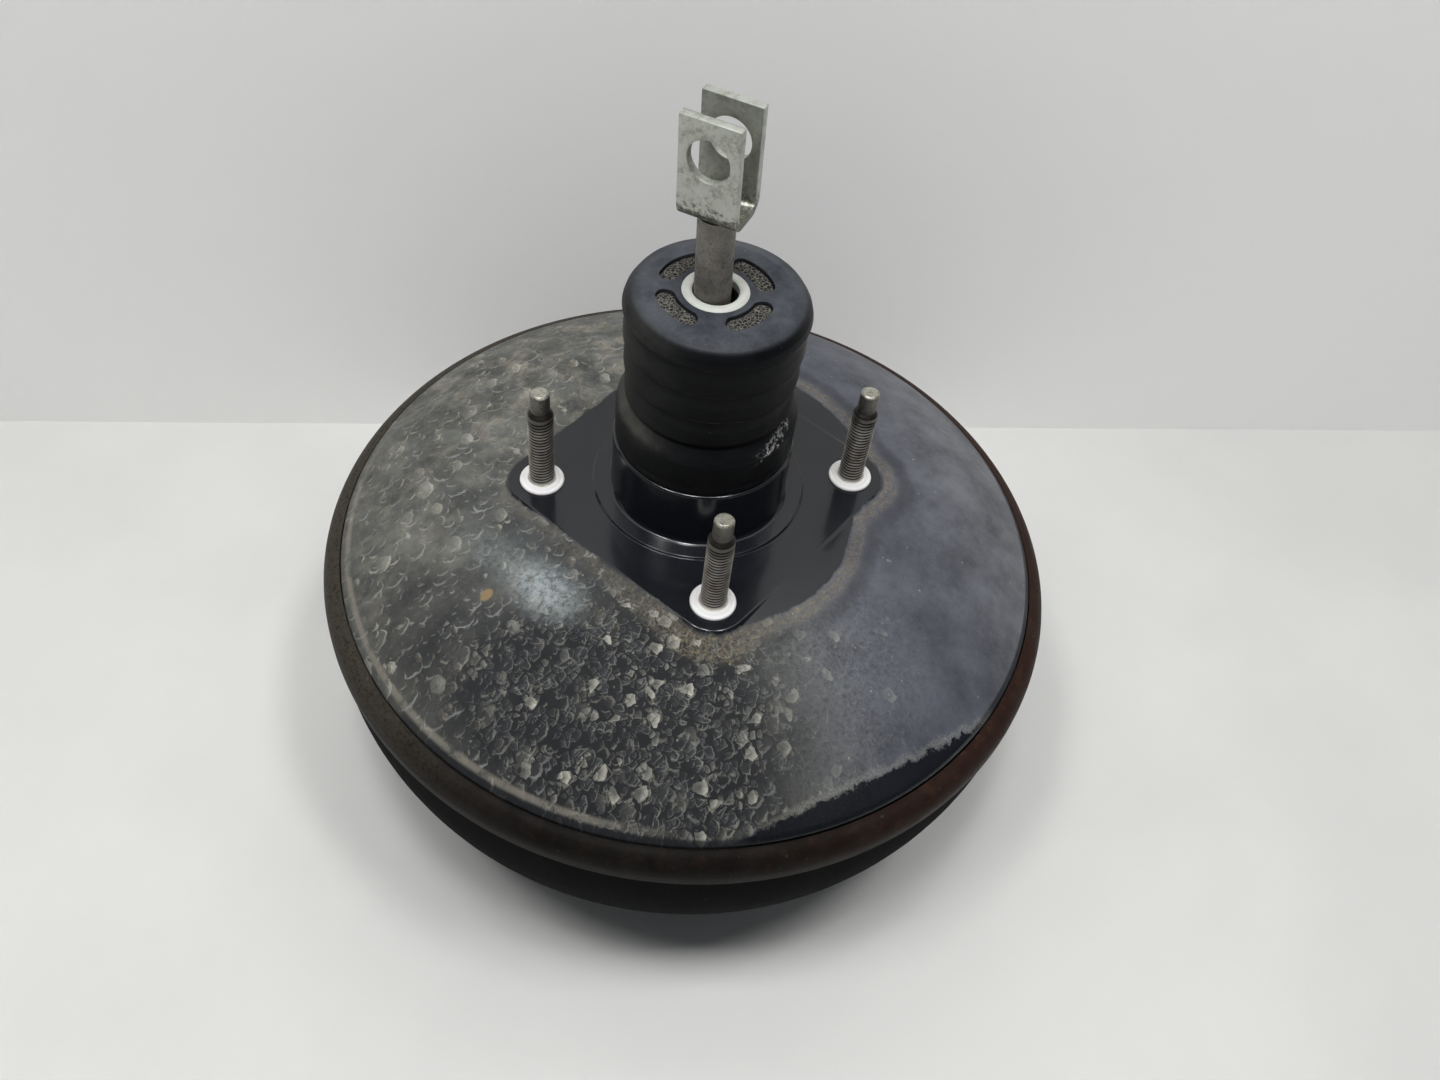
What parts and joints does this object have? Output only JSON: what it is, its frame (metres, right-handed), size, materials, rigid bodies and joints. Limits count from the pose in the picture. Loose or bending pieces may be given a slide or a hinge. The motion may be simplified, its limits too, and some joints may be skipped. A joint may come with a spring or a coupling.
{
  "type": "brake booster",
  "caption": "Vacuum brake booster: steel shell with a mounting plateau, rubber boot, pushrod and clevis, with its power piston and control valve inside.",
  "frame": {"origin": "centre of the rear stud pattern, on the plateau of the rear shell that the bulkhead bracket seats against", "axes": "+Z along the valve body towards the brake pedal; X and Y along the sides of the square of mounting studs; the master cylinder's two studs lie on X"},
  "size_m": [0.2436, 0.2436, 0.2614],
  "materials": {
    "dome_paint": "gloss black paint under dried road dirt",
    "rim_paint": "worn black paint with light rust",
    "zinc_steel": "dull zinc plate",
    "bare_steel": "satin",
    "spring_steel": "satin",
    "white_nylon": "matte",
    "dark_nylon": "matte",
    "phenolic": "matte",
    "black_rubber": "matte",
    "boot_rubber": "satin",
    "felt": "matte",
    "filter_foam": "open foam"
  },
  "bodies": {
    "housing": {"rear_shell": "dome_paint", "front_shell": "rim_paint", "rear_reinforcement": "dome_paint", "front_reinforcement": "bare_steel", "mounting_studs": "zinc_steel", "stud_washers": "white_nylon", "master_cylinder_studs": "zinc_steel", "neck_bush": "dark_nylon", "neck_seal": "black_rubber", "seal_retainer": "bare_steel", "front_seal": "black_rubber", "front_seal_cup": "bare_steel", "return_spring": "spring_steel", "diaphragm": "black_rubber", "boot": "boot_rubber", "check_valve_grommet": "black_rubber", "check_valve_body": "white_nylon", "check_valve_cap": "white_nylon", "check_valve_spring": "spring_steel"},
    "power_piston": {"valve_body": "phenolic", "diaphragm_plate": "bare_steel", "diaphragm_retainer": "dark_nylon", "valve_key": "bare_steel", "reaction_disc": "black_rubber", "output_rod": "zinc_steel", "adjuster_screw": "zinc_steel", "output_rod_clip": "spring_steel", "poppet_retainer": "bare_steel", "poppet_valve": "black_rubber", "poppet_spring": "spring_steel", "rod_return_spring": "spring_steel", "air_silencer": "felt", "air_filter": "filter_foam"},
    "plunger": {"valve_plunger": "bare_steel"},
    "pushrod": {"push_rod": "zinc_steel", "clevis": "zinc_steel", "boot_ring": "white_nylon", "rod_spring_seat": "bare_steel"},
    "check_flap": {"check_valve_flap": "black_rubber"}
  },
  "joints": [
    {"name": "piston_slide", "type": "slide", "parent": "housing", "child": "power_piston", "axis": [0, 0, -1], "range_m": [0, 0.03], "stiffness_N_per_m": 2500, "springref_m": -0.03, "deforming": ["boot", "return_spring", "diaphragm"]},
    {"name": "plunger_slide", "type": "slide", "parent": "power_piston", "child": "plunger", "axis": [0, 0, -1], "range_m": [0, 0.0016], "stiffness_N_per_m": 3000, "springref_m": -0.008, "deforming": ["rod_return_spring", "poppet_spring", "poppet_valve"]},
    {"name": "pushrod_swing", "type": "hinge", "parent": "plunger", "child": "pushrod", "pos_m": [0, 0, 0.02], "axis": [0.9745, 0.2212, 0.0379], "range_deg": [-3, 3], "stiffness_Nm_per_rad": 0.6},
    {"name": "check_flap_slide", "type": "slide", "parent": "housing", "child": "check_flap", "axis": [0, 0, -1], "range_m": [0, 0.0015], "stiffness_N_per_m": 100, "springref_m": -0.003, "deforming": ["check_valve_spring"]}
  ]
}
